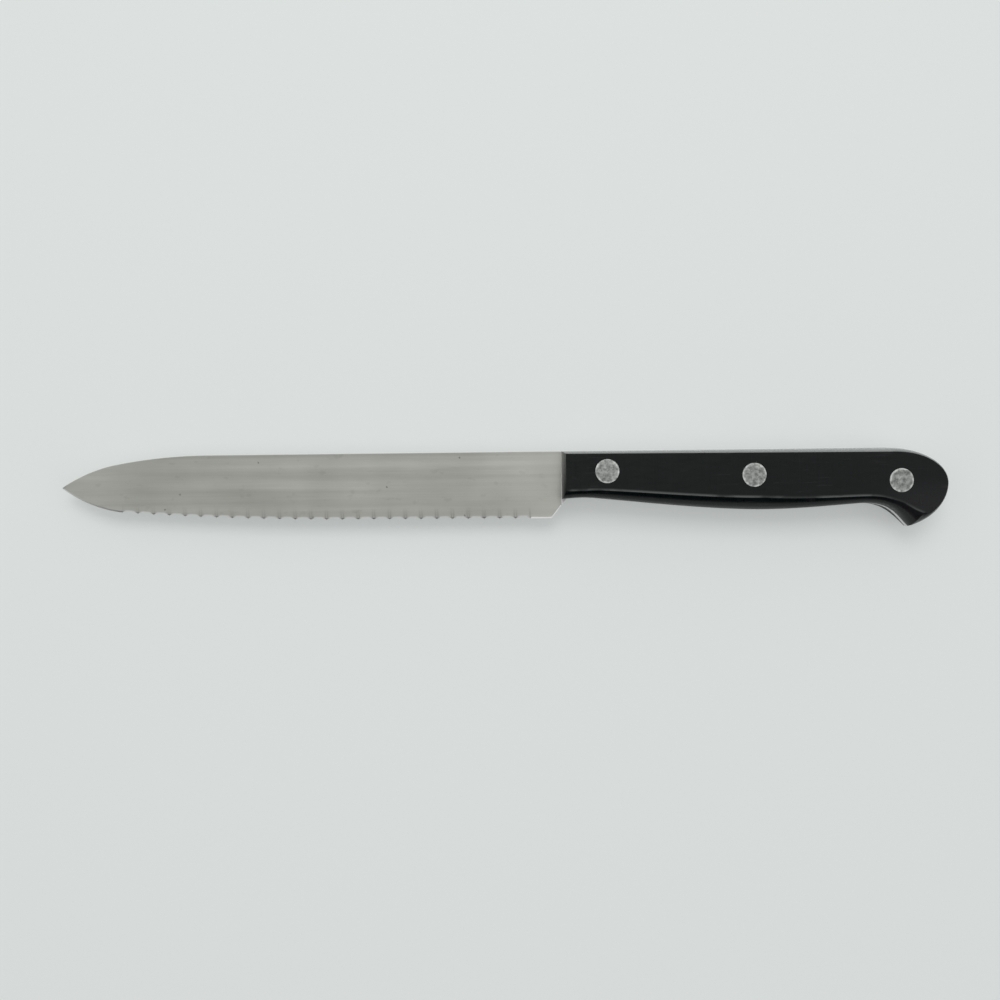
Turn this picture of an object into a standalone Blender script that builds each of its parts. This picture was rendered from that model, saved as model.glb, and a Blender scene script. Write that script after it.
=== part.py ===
"""Serrated utility knife: one steel piece for blade and tang, two riveted plastic scales.

Metres, +Z up. The knife lies on its right side, with its tip at -X, its butt at +X and its
spine towards +Y. Its pieces are drawn in the knife's own frame, which hangs from one empty:
x runs from the front of the handle towards the butt, y is 0 along the spine and falls towards
the edge, and z is 0 in the middle of the steel and rises towards the left side.
"""
import math

import bmesh
import bpy
from mathutils import Vector
from mathutils.geometry import interpolate_bezier

# Steel: the sheet that blade and tang are stamped from
STOCK_THICKNESS = 0.0019

# Blade outline
BLADE_LENGTH = 0.130            # front of the handle to the tip
HEEL_DEPTH = 0.01735            # spine to edge at the heel
POINT_DEPTH = 0.0167            # spine line to edge line, carried on to the tip
HEEL_SETBACK = 0.0027           # heel corner ahead of the handle
CHOIL_END = 0.0012              # where the slanted choil meets the tang, behind the scales' front
SPINE_SWEEP_LENGTH = 0.038      # long arc by which the spine drops to the tip
SPINE_SWEEP_DROP = 0.0056
SPINE_POINT_LENGTH = 0.014      # short arc that steepens it at the point
SPINE_POINT_DROP = 0.00244
BELLY_LENGTH = 0.075            # long shallow arc by which the edge rises
BELLY_RISE = 0.0034
POINT_LENGTH = 0.017            # short arc that carries it on up to the tip
TIP_HEIGHT = 0.00045            # blunt end of the tip

# Blade grind
SPINE_THICKNESS = 0.0018        # at the handle, after grinding
TIP_THICKNESS = 0.0005
TIP_TAPER_LENGTH = 0.030        # last stretch of the spine, which is ground thinner
SHOULDER_THICKNESS = 0.0003     # where the flat meets the edge bevel
BEVEL_HEIGHT = 0.00035
EDGE_THICKNESS = 0.00006
PLUNGE_SETBACK = 0.0003         # end of the ground flats, ahead of the handle

# Serration, ground into the right side only
PLAIN_POINT = 0.01575           # unserrated edge behind the tip
PLAIN_HEEL = 0.0050             # least unserrated edge ahead of the heel
SCALLOP_PITCH = 0.00409
SCALLOP_DEPTH = 0.0007          # notch seen from the left
SCALLOP_ANGLE = math.radians(14)
TOOTH_LAND = 0.0002             # flat point between two scallops

# Handle outline, shared by the tang and both scales
HANDLE_LENGTH = 0.09855
FRONT_DEPTH = 0.0123
FRONT_SLOPE = math.radians(4)
NECK_SETBACK = 0.006            # slimmest place, behind the front
NECK_DEPTH = 0.0120
SWELL_SETBACK = 0.026           # deepest part of the grip, ahead of the waist
SWELL_DEPTH = 0.01557
WAIST_SETBACK = 0.02055         # hollow ahead of the hook, from the butt
WAIST_DEPTH = 0.0142
HOOK_SETBACK = 0.0094           # point of the hook, from the butt
HOOK_DEPTH = 0.0203
HOOK_SLOPE = math.radians(42)
BUTT_ROUND_LENGTH = 0.0144
BUTT_NOSE_DEPTH = 0.0091        # rearmost point of the butt, below the spine

# How long the belly's curves hold the direction of their ends, as shares of their runs
NECK_PULLS = (0.30, 0.30)       # front to neck
GRIP_PULLS = (0.09, 0.35)       # neck to swell
WAIST_PULLS = (0.42, 0.12)      # swell to waist
HOOK_PULLS = (0.62, 0.41)       # waist to hook

# Scales, and the round-over of their outer edge: how far its arc reaches in from the outline, and
# the arc's turn, which is short of a quarter turn, so it meets the face at a crease
SCALE_THICKNESS = 0.0047
FRONT_ROUND = (0.0013, math.radians(75))
FRONT_CORNER_ROUND = (0.0015, math.radians(75))
SPINE_FRONT_ROUND = (0.0015, math.radians(50))
SPINE_BUTT_ROUND = (0.0020, math.radians(50))
BUTT_ROUND = (0.0004, math.radians(50))
NECK_ROUND = (0.00122, math.radians(75))
SWELL_ROUND = (0.0026, math.radians(75))
WAIST_ROUND = (0.00128, math.radians(75))
HOOK_ROUND = (0.0016, math.radians(75))

# Rivets: a solid half driven into a hollow half
RIVET_FRONT_SETBACK = 0.0114    # first rivet, behind the front
RIVET_REAR_SETBACK = 0.01225    # last rivet, ahead of the butt
FRONT_RIVET_DEPTH = 0.00585
MIDDLE_RIVET_DEPTH = 0.0072
REAR_RIVET_DEPTH = 0.0090
HEAD_RADIUS = 0.00315
HEAD_THICKNESS = 0.0013
HEAD_CHAMFER = 0.00015
TUBE_RADIUS = 0.0020
PIN_RADIUS = 0.0013
PIN_LENGTH = 0.0072             # solid half, below its head
BORE_SPARE = 0.0005             # hollow half's bore, past the end of the pin

# Clearances
SEAT_GAP = 0.0003               # between flat faces that bear on each other
FIT_GAP = 0.0001                # around a round piece in its hole
HEAD_RECESS = 0.00005           # rivet head below the scale's outer face
CUT_MARGIN = 0.0005             # a cutter past the surface that it cuts

# Facets
POINT_STEPS = 12
BELLY_STEPS = 16
CURVE_STEPS = 12
ROUND_STEPS = 6
SCALLOP_STEPS = 10
TURN_STEPS = 40
CORNER_ANGLE = math.radians(25)

# What follows from the sizes above
HALF_STOCK = STOCK_THICKNESS / 2
POINT_RISE = POINT_DEPTH - BELLY_RISE - SPINE_SWEEP_DROP - SPINE_POINT_DROP - TIP_HEIGHT
SCALE_SEAT = HALF_STOCK + SEAT_GAP
OUTER_FACE = SCALE_SEAT + SCALE_THICKNESS
HEAD_TOP = OUTER_FACE - HEAD_RECESS
HEAD_UNDERSIDE = HEAD_TOP - HEAD_THICKNESS
COUNTERBORE_FLOOR = HEAD_UNDERSIDE - SEAT_GAP


def arc_drop(x, length, drop):
    """How far an arc that ends at the tip has left the line that it starts from."""
    radius = (length ** 2 + drop ** 2) / (2 * drop)
    return radius - math.sqrt(radius ** 2 - max(0.0, length - BLADE_LENGTH - x) ** 2)


def spine_y(x):
    """Height of the blade's spine: level, then down a long arc and a short one."""
    long_arc = arc_drop(x, SPINE_SWEEP_LENGTH, SPINE_SWEEP_DROP)
    return -long_arc - arc_drop(x, SPINE_POINT_LENGTH, SPINE_POINT_DROP)


def edge_line_y(x):
    """Height of the straight edge, carried on past both ends."""
    share = (x + HEEL_SETBACK) / (HEEL_SETBACK - BLADE_LENGTH)
    return -HEEL_DEPTH + (HEEL_DEPTH - POINT_DEPTH) * share


def edge_y(x):
    """Height of the cutting edge: straight, then up a long arc and a short one."""
    long_arc = arc_drop(x, BELLY_LENGTH, BELLY_RISE)
    return edge_line_y(x) + long_arc + arc_drop(x, POINT_LENGTH, POINT_RISE)


def flat_half_thickness(x, y):
    """Half the blade's thickness on its ground flats, which are true planes."""
    heel_run = HEEL_DEPTH - BEVEL_HEIGHT
    slope = (SPINE_THICKNESS - SHOULDER_THICKNESS) / 2 / heel_run
    return SHOULDER_THICKNESS / 2 + slope * (y - edge_line_y(x) - BEVEL_HEIGHT)


def spine_half_thickness(x):
    """The flats' own thickness at the spine, thinned further towards the tip."""
    thinning = (max(0.0, TIP_TAPER_LENGTH - BLADE_LENGTH - x) / TIP_TAPER_LENGTH) ** 2
    return flat_half_thickness(x, spine_y(x)) * (1 - thinning) + TIP_THICKNESS / 2 * thinning


def tip_stations():
    """Places along x where spine or edge curves, from the tip towards the handle."""
    near, far = sorted((POINT_LENGTH, max(BELLY_LENGTH, SPINE_SWEEP_LENGTH)))
    stations = [near * step / POINT_STEPS for step in range(POINT_STEPS)]
    stations += [near + (far - near) * step / BELLY_STEPS for step in range(BELLY_STEPS + 1)]
    return [along - BLADE_LENGTH for along in stations]


def curve_stretch(start, start_slope, end, end_slope, pulls):
    """Points of one smooth curve between two places, with its slope at each."""
    run = end.x - start.x
    first_handle = start + Vector((math.cos(start_slope), math.sin(start_slope))) * run * pulls[0]
    last_handle = end - Vector((math.cos(end_slope), math.sin(end_slope))) * run * pulls[1]
    return interpolate_bezier(start, first_handle, last_handle, end, CURVE_STEPS + 1)


def ellipse_stretch(centre, half_length, half_height, start, end):
    """Points of an ellipse between two angles, counted from +x towards +y."""
    turns = [start + (end - start) * step / CURVE_STEPS for step in range(CURVE_STEPS + 1)]
    return [centre + Vector((half_length * math.cos(a), half_height * math.sin(a))) for a in turns]


def rounded(points, start_round, end_round):
    """Each point with the round-over that the scales have there, levelling out along the stretch."""
    shares = [1 - (1 - index / (len(points) - 1)) ** 1.5 for index in range(len(points))]
    return [(Vector(p), Vector(start_round).lerp(Vector(end_round), s)) for p, s in zip(points, shares)]


def handle_stretches():
    """The handle's outline as stretches of (point, round-over), anticlockwise from the left."""
    front_top = Vector((0, 0))
    front_bottom = Vector((0, -FRONT_DEPTH))
    neck = Vector((NECK_SETBACK, -NECK_DEPTH))
    waist = Vector((HANDLE_LENGTH - WAIST_SETBACK, -WAIST_DEPTH))
    swell = Vector((waist.x - SWELL_SETBACK, -SWELL_DEPTH))
    hook = Vector((HANDLE_LENGTH - HOOK_SETBACK, -HOOK_DEPTH))
    butt_centre = Vector((HANDLE_LENGTH - BUTT_ROUND_LENGTH, -BUTT_NOSE_DEPTH))
    # The lower half-height is the one whose ellipse passes through the hook's point
    hook_turn = math.acos((hook.x - butt_centre.x) / BUTT_ROUND_LENGTH)
    lower_height = (HOOK_DEPTH - BUTT_NOSE_DEPTH) / math.sin(hook_turn)
    lower_butt = ellipse_stretch(butt_centre, BUTT_ROUND_LENGTH, lower_height, -hook_turn, 0)
    upper_butt = ellipse_stretch(butt_centre, BUTT_ROUND_LENGTH, BUTT_NOSE_DEPTH, 0, math.pi / 2)
    front_edge = curve_stretch(front_bottom, FRONT_SLOPE, neck, 0, NECK_PULLS)
    return [
        rounded([front_top, front_bottom], FRONT_ROUND, FRONT_ROUND),
        rounded(front_edge, FRONT_CORNER_ROUND, NECK_ROUND),
        rounded(curve_stretch(neck, 0, swell, 0, GRIP_PULLS), NECK_ROUND, SWELL_ROUND),
        rounded(curve_stretch(swell, 0, waist, 0, WAIST_PULLS), SWELL_ROUND, WAIST_ROUND),
        rounded(curve_stretch(waist, 0, hook, -HOOK_SLOPE, HOOK_PULLS), WAIST_ROUND, HOOK_ROUND),
        rounded(lower_butt, BUTT_ROUND, BUTT_ROUND),
        rounded(upper_butt[::-1], SPINE_BUTT_ROUND, BUTT_ROUND)[::-1],
        rounded([upper_butt[-1], front_top], SPINE_BUTT_ROUND, SPINE_FRONT_ROUND),
    ]


def rivet_places():
    """Name and centre of each rivet; the middle one is halfway along."""
    first = RIVET_FRONT_SETBACK
    last = HANDLE_LENGTH - RIVET_REAR_SETBACK
    return [
        ("front_rivet", Vector((first, -FRONT_RIVET_DEPTH, 0))),
        ("middle_rivet", Vector(((first + last) / 2, -MIDDLE_RIVET_DEPTH, 0))),
        ("rear_rivet", Vector((last, -REAR_RIVET_DEPTH, 0))),
    ]


def make_material(name, colour, metallic, roughness):
    material = bpy.data.materials.new(name)
    material.use_nodes = True
    shader = material.node_tree.nodes["Principled BSDF"]
    shader.inputs["Base Color"].default_value = (*colour, 1)
    shader.inputs["Metallic"].default_value = metallic
    shader.inputs["Roughness"].default_value = roughness
    return material


def add_object(name, mesh, material=None):
    """Hang a mesh from the knife's empty: a part if it has a material, else a cutter."""
    item = bpy.data.objects.new(name, mesh)
    item.parent = knife
    if material:
        parts.objects.link(item)
        mesh.materials.append(material)
    else:
        cutters.objects.link(item)
        item.hide_render = True
        item.display_type = "WIRE"
    return item


def mesh_from(bm, name):
    """Turn a bmesh into a mesh with its faces outwards and its round parts smooth."""
    bmesh.ops.recalc_face_normals(bm, faces=bm.faces)
    mesh = bpy.data.meshes.new(name)
    bm.to_mesh(mesh)
    bm.free()
    mesh.shade_smooth()
    mesh.set_sharp_from_angle(angle=CORNER_ANGLE)
    return mesh


def cut(item, cutter):
    modifier = item.modifiers.new(cutter.name, "BOOLEAN")
    modifier.operation = "DIFFERENCE"
    modifier.solver = "EXACT"
    modifier.object = cutter


def loft(name, rings):
    """Closed mesh through rings of equally many points, with a flat face on each end ring."""
    bm = bmesh.new()
    loops = [[bm.verts.new(point) for point in ring] for ring in rings]
    count = len(loops[0])
    for lower, upper in zip(loops, loops[1:]):
        for index in range(count):
            after = (index + 1) % count
            bm.faces.new((lower[index], lower[after], upper[after], upper[index]))
    bm.faces.new(loops[0])
    bm.faces.new(loops[-1])
    return mesh_from(bm, name)


def stamped_sheet(name, outline, thickness):
    """Closed mesh of a flat outline, half its thickness on either side of z = 0."""
    curve = bpy.data.curves.new(name, "CURVE")
    curve.dimensions = "2D"
    curve.fill_mode = "BOTH"
    curve.extrude = thickness / 2
    spline = curve.splines.new("POLY")
    spline.points.add(len(outline) - 1)
    for point, place in zip(spline.points, outline):
        point.co = (place.x, place.y, 0, 1)
    spline.use_cyclic_u = True
    drawn = bpy.data.objects.new(name, curve)
    parts.objects.link(drawn)
    graph = bpy.context.evaluated_depsgraph_get()
    mesh = bpy.data.meshes.new_from_object(drawn.evaluated_get(graph))
    bpy.data.objects.remove(drawn)
    bm = bmesh.new()
    bm.from_mesh(mesh)
    bpy.data.meshes.remove(mesh)
    bmesh.ops.remove_doubles(bm, verts=bm.verts, dist=1e-6)
    bmesh.ops.dissolve_limit(bm, angle_limit=1e-4, verts=bm.verts, edges=bm.edges)
    return mesh_from(bm, name)


def turned(name, profile, material=None):
    """Solid of revolution about z, from a profile that runs down its outer side."""
    mesh = bpy.data.meshes.new(name)
    edges = [(index, index + 1) for index in range(len(profile) - 1)]
    mesh.from_pydata([(radius, 0, height) for radius, height in profile], edges, [])
    item = add_object(name, mesh, material)
    screw = item.modifiers.new("turn", "SCREW")
    screw.axis = "Z"
    screw.steps = TURN_STEPS
    screw.render_steps = TURN_STEPS
    screw.use_merge_vertices = True
    screw.merge_threshold = 1e-6
    return item


def blank_outline():
    """Outline of the stamped steel, anticlockwise from the tip's lower corner."""
    stations = tip_stations()
    belly = [Vector((x, edge_y(x))) for x in stations]
    spine = [Vector((x, spine_y(x))) for x in reversed(stations)]
    heel = Vector((-HEEL_SETBACK, edge_y(-HEEL_SETBACK)))
    _, front_edge, *stretches = handle_stretches()
    under_front = [point for point, _ in front_edge if point.x > CHOIL_END]
    tang = [point for stretch in stretches for point, _ in stretch[1:]]
    choil_depth = under_front[0].y
    outline = belly + [heel, Vector((CHOIL_END, choil_depth))] + under_front + tang + spine
    return [p for p, before in zip(outline, outline[-1:] + outline[:-1]) if (p - before).length > 1e-6]


def grinding_cutter(side):
    """What grinding takes off one side: outside the flat, and outside the edge bevel below it."""
    clear = HALF_STOCK + CUT_MARGIN
    rings = []
    stations = tip_stations()
    for x in [stations[0] - CUT_MARGIN] + stations + [-PLUNGE_SETBACK]:
        along = max(x, stations[0])
        spine, edge = spine_y(along), edge_y(along)
        shoulder = edge + min(BEVEL_HEIGHT, (spine - edge) / 2)
        spine_half = spine_half_thickness(along)
        flat_slope = (spine_half - SHOULDER_THICKNESS / 2) / (spine - shoulder)
        bevel_slope = (SHOULDER_THICKNESS - EDGE_THICKNESS) / 2 / (shoulder - edge)
        section = [
            (spine + CUT_MARGIN, spine_half + CUT_MARGIN * flat_slope),
            (shoulder, SHOULDER_THICKNESS / 2),
            (edge - CUT_MARGIN, EDGE_THICKNESS / 2 - CUT_MARGIN * bevel_slope),
            (edge - CUT_MARGIN, clear),
            (spine + CUT_MARGIN, clear),
        ]
        rings.append([(x, y, side * z) for y, z in section])
    name = "left_grind" if side > 0 else "right_grind"
    return add_object(name, loft(name, rings))


def serrating_cutter():
    """The dressed wheel's path: a chain of arcs, driven in at a slant from the right side."""
    first = PLAIN_POINT - BLADE_LENGTH
    count = int((-HEEL_SETBACK - PLAIN_HEEL - first) / SCALLOP_PITCH)
    # The arcs are drawn where the edge is, so they stand deeper than the notch seen on the left
    flank = SHOULDER_THICKNESS / 2 - EDGE_THICKNESS / 2
    depth = SCALLOP_DEPTH + flank / math.tan(SCALLOP_ANGLE)
    half_chord = (SCALLOP_PITCH - TOOTH_LAND) / 2
    radius = (half_chord ** 2 + depth ** 2) / (2 * depth)
    arcs = []
    for scallop in range(count):
        middle = first + SCALLOP_PITCH * (scallop + 0.5)
        for step in range(SCALLOP_STEPS + 1):
            offset = half_chord * (2 * step / SCALLOP_STEPS - 1)
            height = math.sqrt(radius ** 2 - offset ** 2) - (radius - depth)
            x = middle + offset
            arcs.append(Vector((x, edge_y(x) + height, EDGE_THICKNESS / 2)))
    drive = Vector((0, math.cos(SCALLOP_ANGLE), -math.sin(SCALLOP_ANGLE)))
    reach = (HALF_STOCK + SHOULDER_THICKNESS) / math.sin(SCALLOP_ANGLE)
    below = Vector((0, -reach, 0))
    outline = arcs + [arcs[-1] + below, arcs[0] + below]
    lead = drive * (SHOULDER_THICKNESS + CUT_MARGIN) / math.cos(SCALLOP_ANGLE)
    rings = [[point - lead for point in outline], [point + drive * reach for point in outline]]
    return add_object("serration", loft("serration", rings))


def make_blade(material):
    """Blade and full tang: stamped, flat-ground on both sides, serrated, and drilled."""
    blade = add_object("blade", stamped_sheet("blade", blank_outline(), STOCK_THICKNESS), material)
    for side in (1, -1):
        cut(blade, grinding_cutter(side))
    cut(blade, serrating_cutter())
    for name, place in rivet_places():
        drill = [(0, HALF_STOCK + CUT_MARGIN), (TUBE_RADIUS + FIT_GAP, HALF_STOCK + CUT_MARGIN),
                 (TUBE_RADIUS + FIT_GAP, -HALF_STOCK - CUT_MARGIN), (0, -HALF_STOCK - CUT_MARGIN)]
        cutter = turned(name + "_tang_hole", drill)
        cutter.location = place
        cut(blade, cutter)


def mitre(before, after, before_round, after_round):
    """How far a corner of the outline moves in when its two sides move in by their round-overs."""
    inward_before = Vector((-before.y, before.x)).normalized()
    inward_after = Vector((-after.y, after.x)).normalized()
    cosine = inward_before.dot(inward_after)
    if cosine > math.cos(CORNER_ANGLE):
        return (inward_before + inward_after) * (before_round + after_round) / 2 / (1 + cosine)
    along_before = inward_before * (before_round - cosine * after_round)
    along_after = inward_after * (after_round - cosine * before_round)
    return (along_before + along_after) / (1 - cosine ** 2)


def scale_outline():
    """The outline as (point, its whole move inwards, round-over), with room for each mitre."""
    places, corners = [], []
    stretches = handle_stretches()
    for stretch, following in zip(stretches, stretches[1:] + stretches[:1]):
        run = stretch + [(following[1][0], following[0][1])]
        for (before, _), (point, over), (after, after_over) in zip(run, run[1:], run[2:]):
            inset = mitre(point - before, after - point, over.x, after_over.x)
            places.append((point, inset, over))
            if (point - before).angle(after - point) > CORNER_ANGLE:
                corners.append((point, inset.length))
    # A plain point too near a corner would be swept past by the corner's own move
    return [place for place in places
            if all(place[0] == corner or (place[0] - corner).length > move for corner, move in corners)]


def make_scale(name, side, material):
    """A scale: the handle's outline, upright at the tang, then curving in to a creased face."""
    outline = scale_outline()
    rings = [[(point.x, point.y, side * SCALE_SEAT) for point, *_ in outline]]
    for step in range(ROUND_STEPS + 1):
        ring = []
        for point, inset, (reach, whole_turn) in outline:
            turn = whole_turn * step / ROUND_STEPS
            inward = (1 - math.cos(turn)) / (1 - math.cos(whole_turn))
            drop = reach * (math.sin(whole_turn) - math.sin(turn)) / (1 - math.cos(whole_turn))
            ring.append((*(point + inset * inward), side * (OUTER_FACE - drop)))
        rings.append(ring)
    scale = add_object(name, loft(name, rings), material)
    head_hole = HEAD_RADIUS + FIT_GAP
    tube_hole = TUBE_RADIUS + FIT_GAP
    outside, floor, inside = OUTER_FACE + CUT_MARGIN, COUNTERBORE_FLOOR, SCALE_SEAT - CUT_MARGIN
    profile = [(0, outside), (head_hole, outside), (head_hole, floor), (tube_hole, floor),
               (tube_hole, inside), (0, inside)]
    if side < 0:
        profile = [(radius, -height) for radius, height in reversed(profile)]
    for rivet, place in rivet_places():
        cutter = turned(f"{rivet}_{name}_hole", profile)
        cutter.location = place
        cut(scale, cutter)


def make_rivets(material):
    """Each rivet's solid half comes in from the left and its hollow half from the right."""
    pin_end = HEAD_UNDERSIDE - PIN_LENGTH
    bore = PIN_RADIUS + FIT_GAP
    tube_mouth = COUNTERBORE_FLOOR
    for name, place in rivet_places():
        pin = [(0, HEAD_TOP), (HEAD_RADIUS - HEAD_CHAMFER, HEAD_TOP), (HEAD_RADIUS, HEAD_TOP - HEAD_CHAMFER),
               (HEAD_RADIUS, HEAD_UNDERSIDE), (PIN_RADIUS, HEAD_UNDERSIDE),
               (PIN_RADIUS, pin_end + HEAD_CHAMFER), (PIN_RADIUS - HEAD_CHAMFER, pin_end), (0, pin_end)]
        turned(name + "_pin", pin, material).location = place
        tube = [(0, pin_end - BORE_SPARE), (bore, pin_end - BORE_SPARE), (bore, tube_mouth),
                (TUBE_RADIUS, tube_mouth), (TUBE_RADIUS, -HEAD_UNDERSIDE),
                (HEAD_RADIUS, -HEAD_UNDERSIDE), (HEAD_RADIUS, HEAD_CHAMFER - HEAD_TOP),
                (HEAD_RADIUS - HEAD_CHAMFER, -HEAD_TOP), (0, -HEAD_TOP)]
        turned(name + "_tube", tube, material).location = place


for old in list(bpy.data.objects):
    bpy.data.objects.remove(old)

parts = bpy.data.collections.new("serrated_utility_knife")
cutters = bpy.data.collections.new("cutters")
bpy.context.scene.collection.children.link(parts)
bpy.context.scene.collection.children.link(cutters)

# The origin is the centre of the box that the knife fills, on the surface that it lies on
knife = bpy.data.objects.new("knife", None)
knife.location = ((BLADE_LENGTH - HANDLE_LENGTH) / 2, max(HEEL_DEPTH, HOOK_DEPTH) / 2, OUTER_FACE)
parts.objects.link(knife)

steel = make_material("satin_steel", (0.34, 0.34, 0.31), 1.0, 0.35)
plastic = make_material("black_plastic", (0.014, 0.016, 0.016), 0.0, 0.4)
rivet_metal = make_material("rivet_metal", (0.33, 0.34, 0.33), 1.0, 0.45)

make_blade(steel)
make_scale("left_scale", 1, plastic)
make_scale("right_scale", -1, plastic)
make_rivets(rivet_metal)
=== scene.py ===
"""Serrated utility knife lying on its right side on a pale sheet, seen from straight above."""
import math

import bmesh
import bpy
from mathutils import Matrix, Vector
from mathutils.geometry import interpolate_bezier


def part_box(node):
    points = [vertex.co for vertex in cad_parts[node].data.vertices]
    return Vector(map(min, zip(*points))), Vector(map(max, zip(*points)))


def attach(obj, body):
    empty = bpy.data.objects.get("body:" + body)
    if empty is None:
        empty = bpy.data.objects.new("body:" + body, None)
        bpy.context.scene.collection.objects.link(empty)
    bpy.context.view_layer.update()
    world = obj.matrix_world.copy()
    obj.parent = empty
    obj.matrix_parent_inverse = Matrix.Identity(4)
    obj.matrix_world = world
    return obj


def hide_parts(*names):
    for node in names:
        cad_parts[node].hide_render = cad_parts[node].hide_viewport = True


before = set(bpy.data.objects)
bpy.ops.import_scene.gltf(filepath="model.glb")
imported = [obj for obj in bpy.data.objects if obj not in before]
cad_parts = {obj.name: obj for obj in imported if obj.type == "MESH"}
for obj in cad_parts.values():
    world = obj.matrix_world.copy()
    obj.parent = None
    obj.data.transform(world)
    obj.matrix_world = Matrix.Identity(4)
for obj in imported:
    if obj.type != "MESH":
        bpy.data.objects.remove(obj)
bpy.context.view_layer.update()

# Camera
# A camera held level over the knife, 27 cm above its middle. Its picture is turned a little,
# because the knife lies slightly aslant in the photograph.
TARGET = Vector((-0.000275, -0.00225, 0.00595))
CAMERA_HEIGHT = 0.2730
CAMERA_ROLL = math.radians(0.66)
SENSOR_WIDTH = 36
LENS = 37.8

camera = bpy.data.objects.new("camera", bpy.data.cameras.new("camera"))
camera.data.sensor_width = SENSOR_WIDTH
camera.data.lens = LENS
camera.data.clip_start = 0.01
camera.location = TARGET + Vector((0, 0, CAMERA_HEIGHT))
camera.rotation_euler = (0, 0, -CAMERA_ROLL)
bpy.context.scene.collection.objects.link(camera)
bpy.context.scene.camera = camera


# Blade and full tang
# One strip of stainless steel, stamped, ground flat on both sides from spine to edge, brushed
# lengthwise, and scalloped along the edge by a dressed wheel from the right side only.
class Socket:
    """An output socket of a node tree; arithmetic on it adds the tree's Math nodes."""

    def __init__(self, nodes, socket):
        self.nodes, self.socket = nodes, socket

    def __add__(self, other):
        return self.nodes.math("ADD", self, other)

    def __sub__(self, other):
        return self.nodes.math("SUBTRACT", self, other)

    def __rsub__(self, other):
        return self.nodes.math("SUBTRACT", other, self)

    def __mul__(self, other):
        return self.nodes.math("MULTIPLY", self, other)

    def __truediv__(self, other):
        return self.nodes.math("DIVIDE", self, other)

    def __neg__(self):
        return self * -1

    __radd__ = __add__
    __rmul__ = __mul__

    def least(self, other):
        return self.nodes.math("MINIMUM", self, other)

    def most(self, other):
        return self.nodes.math("MAXIMUM", self, other)

    def clamp(self, low=0.0, high=1.0):
        return self.least(high).most(low)

    def root(self):
        return self.nodes.math("SQRT", self.most(0))

    def over(self, other):
        return self.nodes.math("GREATER_THAN", self, other)

    def floor(self):
        return self.nodes.math("FLOOR", self)


class Nodes:
    """Adds nodes to one tree: a type, its settings, and the values or links of its sockets."""

    def __init__(self, tree):
        self.tree = tree

    def add(self, kind, settings=None, inputs=None, output=0):
        node = self.tree.nodes.new(kind)
        for name, value in (settings or {}).items():
            setattr(node, name, value)
        for name, value in (inputs or {}).items():
            if isinstance(value, Socket):
                self.tree.links.new(value.socket, node.inputs[name])
            else:
                node.inputs[name].default_value = value
        return Socket(self, node.outputs[output])

    def math(self, operation, *values):
        return self.add("ShaderNodeMath", {"operation": operation}, dict(enumerate(values)))

    def vector(self, x, y, z):
        return self.add("ShaderNodeCombineXYZ", inputs={0: x, 1: y, 2: z})


def new_geometry_tree(name, sizes):
    """A Geometry Nodes tree with one named input for each size, and its sockets."""
    tree = bpy.data.node_groups.new(name, "GeometryNodeTree")
    face = tree.interface
    face.new_socket("Geometry", in_out="INPUT", socket_type="NodeSocketGeometry")
    face.new_socket("Geometry", in_out="OUTPUT", socket_type="NodeSocketGeometry")
    names = {size: face.new_socket(size, in_out="INPUT", socket_type="NodeSocketFloat").identifier
             for size in sizes}
    nodes = Nodes(tree)
    entry = tree.nodes.new("NodeGroupInput")
    sockets = {size: Socket(nodes, entry.outputs[size]) for size in sizes}
    return nodes, Socket(nodes, entry.outputs["Geometry"]), sockets, names


def finish_tree(nodes, geometry, material):
    """Smooth, realised geometry with its material, out of the tree."""
    smooth = nodes.add("GeometryNodeSetShadeSmooth", inputs={"Geometry": geometry})
    solid = nodes.add("GeometryNodeRealizeInstances", inputs={"Geometry": smooth})
    dressed = nodes.add("GeometryNodeSetMaterial", inputs={"Geometry": solid, "Material": material})
    leave = nodes.tree.nodes.new("NodeGroupOutput")
    nodes.tree.links.new(dressed.socket, leave.inputs[0])


def grown_mesh(name, base, tree, names, sizes):
    """The plain mesh that a tree makes of a base mesh with these sizes."""
    holder = bpy.data.objects.new(name, base)
    bpy.context.scene.collection.objects.link(holder)
    modifier = holder.modifiers.new(tree.name, "NODES")
    modifier.node_group = tree
    for size, value in sizes.items():
        modifier[names[size]] = value
    graph = bpy.context.evaluated_depsgraph_get()
    mesh = bpy.data.meshes.new_from_object(holder.evaluated_get(graph))
    bpy.data.objects.remove(holder)
    mesh.name = name
    return mesh


def along(index, start, steps):
    """How far an index has come, from 0 to 1, along the steps after a start."""
    return ((index - start) / steps).clamp()


TIP_WEAR = 0.0004
blade_low, blade_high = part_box("blade")
tip_x = blade_low.x + TIP_WEAR
butt_x, spine_y = blade_high.x, blade_high.y
front_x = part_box("left_scale")[0].x
middle_z = (blade_low.z + blade_high.z) / 2
half_stock = (blade_high.z - blade_low.z) / 2

BLADE = {
    "Length": front_x - tip_x,
    "Heel depth": 0.01727,
    "Point depth": 0.0167,
    "Heel setback": 0.0027,
    "Spine sweep": 0.038,
    "Sweep drop": 0.0056,
    "Spine point": 0.014,
    "Point drop": 0.0023,
    "Belly": 0.075,
    "Belly rise": 0.0035,
    "Edge point": 0.017,
    "Tip height": 0.0003,
    "Spine thickness": 0.0018,
    "Tip thickness": 0.0005,
    "Tip taper": 0.030,
    "Shoulder thickness": 0.0003,
    "Bevel height": 0.00035,
    "Edge thickness": 0.00003,
    "Spine break": 0.00012,
    "Choil end": 0.0012,
    "Choil depth": 0.0122,
    "Choil burr": 0.00022,
    "Plain point": 0.01535,
    "Scallop pitch": 0.00409,
    "Scallop count": 26,
    "Scallop depth": 0.00055,
    "Scallop angle": math.radians(14),
    "Tooth land": 0.0002,
}
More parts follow.
